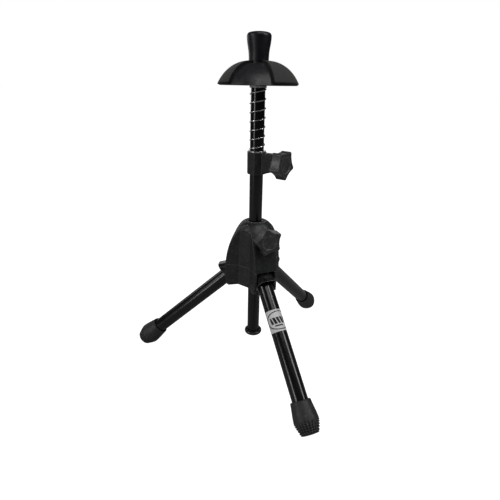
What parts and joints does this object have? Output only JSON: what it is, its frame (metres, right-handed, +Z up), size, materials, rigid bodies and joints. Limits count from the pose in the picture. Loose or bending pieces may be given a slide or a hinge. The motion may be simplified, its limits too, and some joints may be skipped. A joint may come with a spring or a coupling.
{
  "type": "trumpet stand",
  "caption": "Folding floor stand for a trumpet: padded sprung umbrella and peg on a sliding pole, clamped by star knobs in a lobed hub with folding tube legs and rubber feet.",
  "frame": {"origin": "on the floor, under the axis of the pole, with the legs open", "axes": "+Z up along the pole; the front leg points along -Y, the right leg to azimuth 30 degrees from +X towards +Y and the left leg to 150 degrees"},
  "size_m": [0.2958, 0.2591, 0.4049],
  "materials": {
    "black_enamel_steel": "gloss",
    "gloss_plastic_cap": "gloss",
    "peg_rubber": "satin",
    "hub_plastic": "satin",
    "bush_nylon": "satin",
    "brass": "satin",
    "zinc_steel": "satin",
    "knob_plastic": "matte",
    "collar_plastic": "satin",
    "spring_steel": "gloss",
    "bush_grey": "satin",
    "umbrella_plastic": "satin",
    "pad_foam": "matte",
    "label_film": "satin",
    "knuckle_plastic": "gloss",
    "foot_rubber": "matte"
  },
  "bodies": {
    "hub": {"hub_housing": "hub_plastic", "leg_carrier": "hub_plastic", "hub_bush": "bush_nylon", "hub_screws": "zinc_steel", "hub_clamp_nut": "zinc_steel", "hub_clamp_shoe": "brass", "leg_pin_front": "zinc_steel", "leg_pin_right": "zinc_steel", "leg_pin_left": "zinc_steel"},
    "hub_knob": {"hub_star_knob": "knob_plastic", "hub_knob_bolt": "zinc_steel"},
    "pole": {"pole_tube": "black_enamel_steel", "pole_end_cap": "gloss_plastic_cap", "bell_peg": "peg_rubber"},
    "collar": {"collar_body": "collar_plastic", "collar_insert": "brass", "spring_washer": "zinc_steel", "spring": "spring_steel"},
    "collar_knob": {"collar_star_knob": "knob_plastic", "collar_knob_bolt": "zinc_steel"},
    "umbrella_slider": {"umbrella_bush": "bush_grey"},
    "umbrella": {"bell_umbrella": "umbrella_plastic", "bell_pad_1": "pad_foam", "bell_pad_2": "pad_foam", "bell_pad_3": "pad_foam"},
    "leg_front": {"leg_tube_front": "black_enamel_steel", "leg_knuckle_front": "knuckle_plastic", "leg_foot_front": "foot_rubber", "leg_label": "label_film"},
    "leg_right": {"leg_tube_right": "black_enamel_steel", "leg_knuckle_right": "knuckle_plastic", "leg_foot_right": "foot_rubber"},
    "leg_left": {"leg_tube_left": "black_enamel_steel", "leg_knuckle_left": "knuckle_plastic", "leg_foot_left": "foot_rubber"}
  },
  "joints": [
    {"name": "pole_slide", "type": "slide", "parent": "hub", "child": "pole", "axis": [0, 0, 1], "range_m": [-0.034, 0.076]},
    {"name": "hub_knob_turn", "type": "hinge", "parent": "hub", "child": "hub_knob", "pos_m": [0, -0.0444, 0.1856], "axis": [0, -1, 0], "continuous": true},
    {"name": "collar_slide", "type": "slide", "parent": "pole", "child": "collar", "axis": [0, 0, 1], "range_m": [-0.018, 0]},
    {"name": "collar_knob_turn", "type": "hinge", "parent": "collar", "child": "collar_knob", "pos_m": [0.02029, -0.03586, 0.272], "axis": [0.4924, -0.8704, 0], "continuous": true},
    {"name": "umbrella_press", "type": "slide", "parent": "collar", "child": "umbrella_slider", "axis": [0, 0, 1], "range_m": [-0.045, 0], "stiffness_N_per_m": 440, "springref_m": 0.012, "deforming": ["spring"]},
    {"name": "umbrella_turn", "type": "hinge", "parent": "umbrella_slider", "child": "umbrella", "pos_m": [0, 0, 0.3535], "axis": [0, 0, 1], "continuous": true},
    {"name": "leg_front_fold", "type": "hinge", "parent": "hub", "child": "leg_front", "pos_m": [0, -0.026, 0.13118], "axis": [1, 0, 0], "range_deg": [0, 47.5]},
    {"name": "leg_right_fold", "type": "hinge", "parent": "hub", "child": "leg_right", "pos_m": [0.02252, 0.013, 0.13118], "axis": [-0.5, 0.866, 0], "range_deg": [0, 47.5]},
    {"name": "leg_left_fold", "type": "hinge", "parent": "hub", "child": "leg_left", "pos_m": [-0.02252, 0.013, 0.13118], "axis": [-0.5, -0.866, 0], "range_deg": [0, 47.5]}
  ]
}
